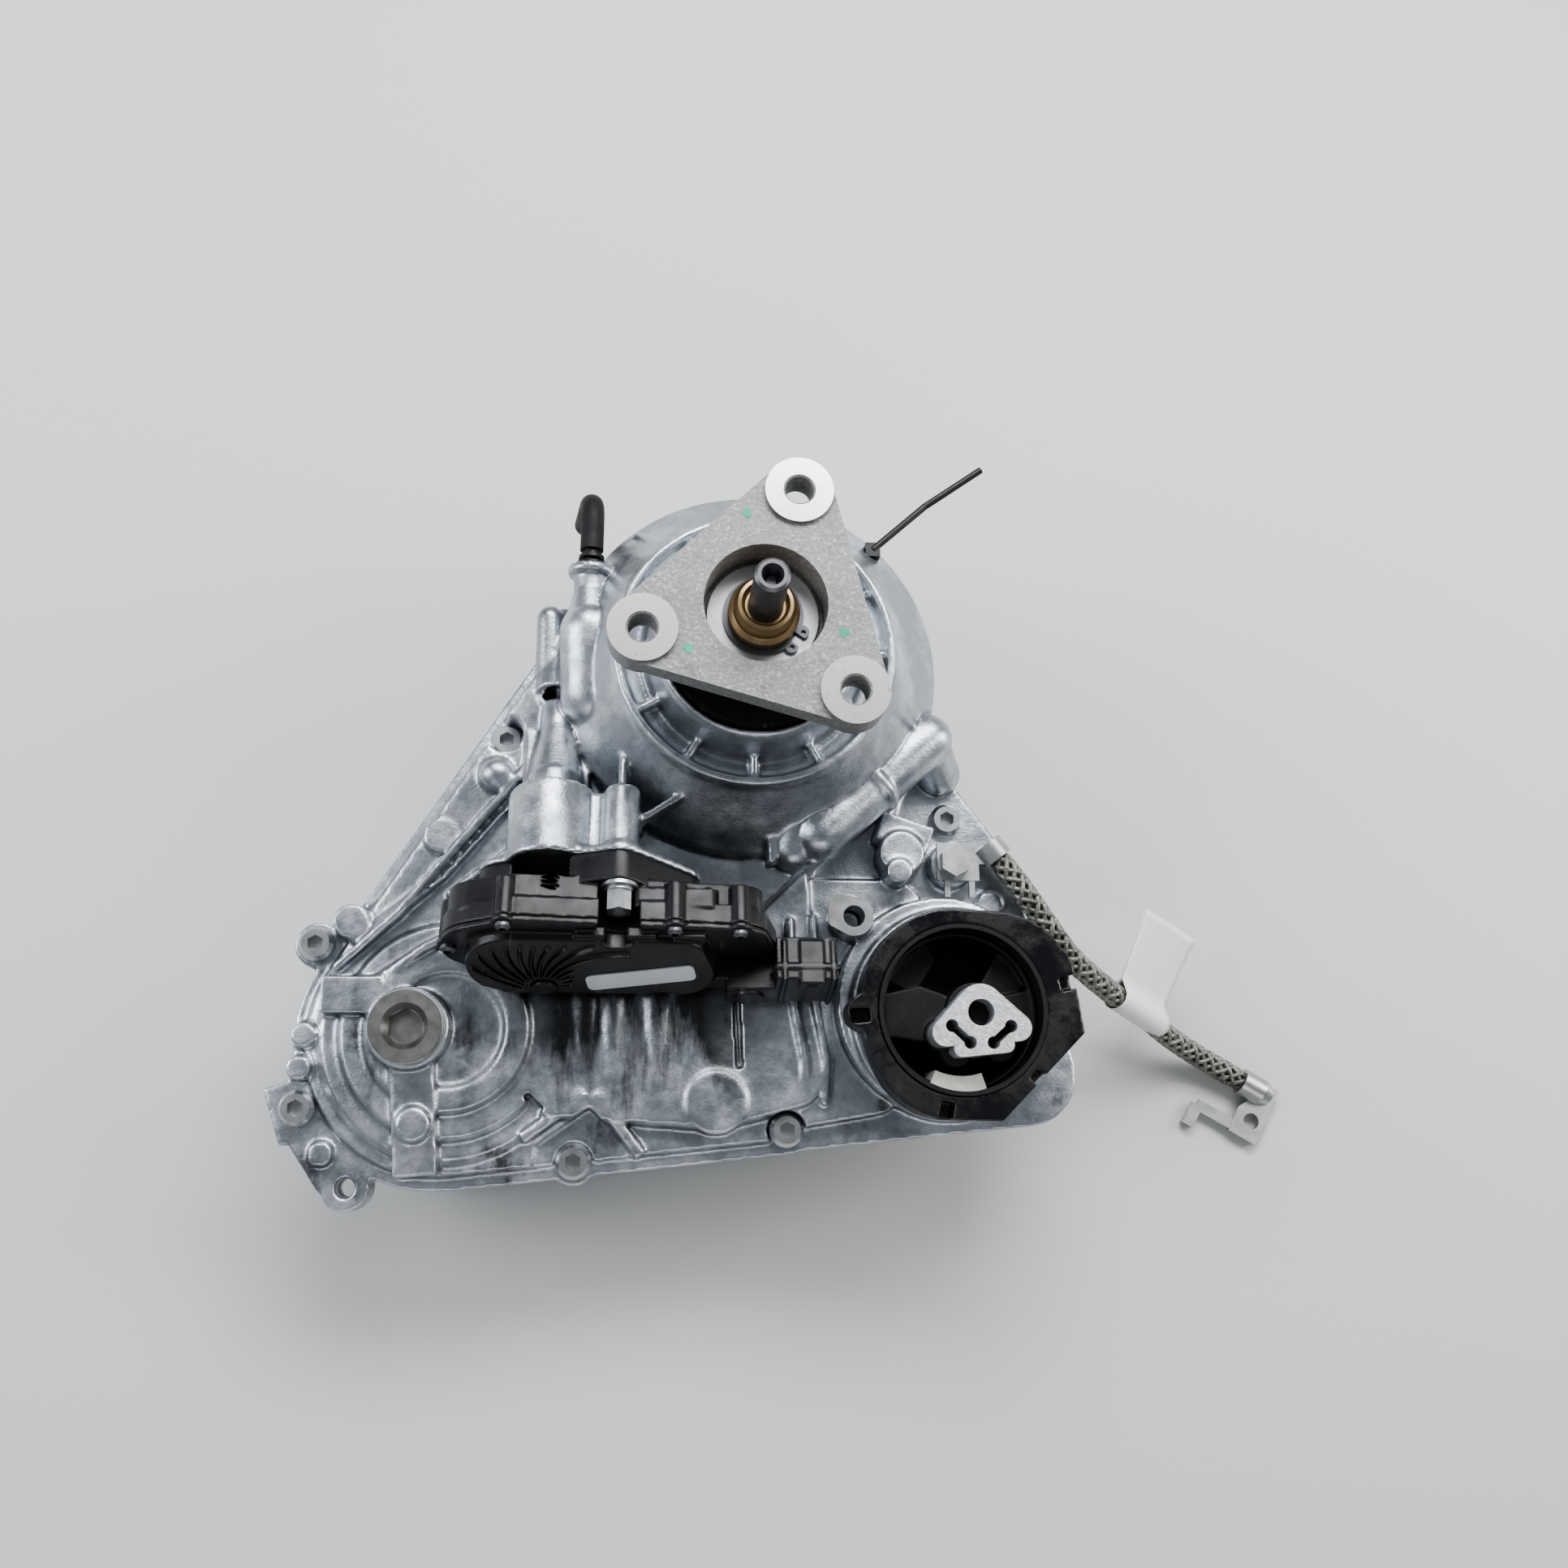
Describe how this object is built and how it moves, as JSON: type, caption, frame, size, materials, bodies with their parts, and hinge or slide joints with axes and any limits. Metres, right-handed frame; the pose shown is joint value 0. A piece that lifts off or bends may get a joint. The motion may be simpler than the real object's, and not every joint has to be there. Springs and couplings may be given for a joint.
{
  "type": "transfer case",
  "caption": "Chain-driven transfer case for four-wheel drive: cast housings, clutch pack with worm actuator, three-armed rear flange, rubber mount and earth strap.",
  "frame": {"origin": "on the main shaft axis, in the face that bolts to the gearbox", "axes": "+Z along the main shaft towards the rear output flange; the front output lies at -X and -Y; -Y is towards the road as the case lies in its picture"},
  "size_m": [0.5037, 0.3519, 0.2284],
  "materials": {
    "cast_aluminium": "cast, fine grain, matt",
    "cast_iron_grey": "cast, rough, machined faces bright",
    "machined_steel": "turned or ground",
    "plated_steel": "zinc plated",
    "dark_steel": "oiled, dark",
    "bearing_bronze": "turned, satin",
    "friction_lining": "fibrous, oily",
    "black_plastic": "moulded, satin black",
    "black_paint": "satin black",
    "black_rubber": "matt",
    "pale_plastic": "natural, matt",
    "green_board": "lacquered",
    "copper_braid": "tinned braid, dull",
    "white_paper": "coated paper"
  },
  "bodies": {
    "case": {"front_housing": "cast_aluminium", "rear_housing": "cast_aluminium", "case_bolts": "dark_steel", "dowel_sleeves": "machined_steel", "rear_bearing_outer": "machined_steel", "front_output_bearing_outer": "machined_steel", "input_bearing": "machined_steel", "tail_bearing": "machined_steel", "input_seal": "black_rubber", "front_output_seal": "black_rubber", "rear_seal": "black_rubber", "drive_chain": "dark_steel", "oil_pump_body": "cast_aluminium", "ramp_plate": "dark_steel", "ramp_balls": "machined_steel", "motor": "plated_steel", "actuator_housing": "black_plastic", "actuator_cover": "black_plastic", "actuator_connector": "black_plastic", "actuator_screws": "dark_steel", "actuator_bolt": "dark_steel", "control_board": "green_board", "fill_plug": "plated_steel", "fill_plug_washer": "cast_aluminium", "drain_plug": "plated_steel", "breather_fitting": "black_plastic", "breather_hose": "black_rubber", "cable_tie": "black_plastic", "mount_sleeve": "machined_steel", "mount_collar": "black_plastic", "mount_core": "cast_aluminium", "mount_rubber": "black_rubber", "mount_stop": "pale_plastic", "threaded_insert": "plated_steel", "earth_lug": "plated_steel", "earth_bolt": "plated_steel", "strap_braid": "copper_braid", "strap_end": "plated_steel", "strap_label": "white_paper"},
    "main_shaft": {"main_shaft": "machined_steel", "clutch_hub": "machined_steel", "inner_discs": "friction_lining", "rear_output_flange": "cast_iron_grey", "centring_collar": "bearing_bronze", "flange_washer": "plated_steel", "flange_circlip": "dark_steel", "dust_shield": "black_paint", "rear_bearing_inner": "machined_steel", "oil_pump_rotor": "machined_steel"},
    "sprocket_carrier": {"drive_sprocket": "dark_steel", "clutch_basket": "machined_steel", "outer_discs": "machined_steel", "sprocket_needle_sleeve": "machined_steel"},
    "front_output": {"front_output_shaft": "machined_steel", "driven_sprocket": "dark_steel", "front_output_bearing_inner": "machined_steel"},
    "pressure_group": {"pressure_plate": "machined_steel", "thrust_bearing": "machined_steel"},
    "adjusting_ring": {"adjusting_ring": "dark_steel"},
    "worm": {"worm_shaft": "machined_steel"}
  },
  "joints": [
    {"name": "main_shaft_spin", "type": "hinge", "parent": "case", "child": "main_shaft", "pos_m": [0, 0, 0.1], "axis": [0, 0, 1], "continuous": true},
    {"name": "front_output_spin", "type": "hinge", "parent": "case", "child": "front_output", "pos_m": [-0.137, -0.172, 0.04], "axis": [0, 0, 1], "continuous": true},
    {"name": "drive_sprocket_spin", "type": "hinge", "parent": "case", "child": "sprocket_carrier", "pos_m": [0, 0, 0.051], "axis": [0, 0, 1], "continuous": true},
    {"name": "worm_spin", "type": "hinge", "parent": "case", "child": "worm", "pos_m": [-0.089, -0.1, 0.124], "axis": [0, -0.9613, 0.2756], "range_deg": [0, 2000]},
    {"name": "pressure_plate_slide", "type": "slide", "parent": "case", "child": "pressure_group", "axis": [0, 0, -1], "range_m": [0, 0.0014]},
    {"name": "adjusting_ring_turn", "type": "hinge", "parent": "pressure_group", "child": "adjusting_ring", "pos_m": [0, 0, 0.095], "axis": [0, 0, 1], "range_deg": [0, 20]}
  ],
  "couplings": [
    {"joint": "drive_sprocket_spin", "follows": "front_output_spin", "ratio": 1},
    {"joint": "worm_spin", "follows": "adjusting_ring_turn", "ratio": 100},
    {"joint": "pressure_plate_slide", "follows": "adjusting_ring_turn", "m_per_rad": 0.0040103}
  ]
}
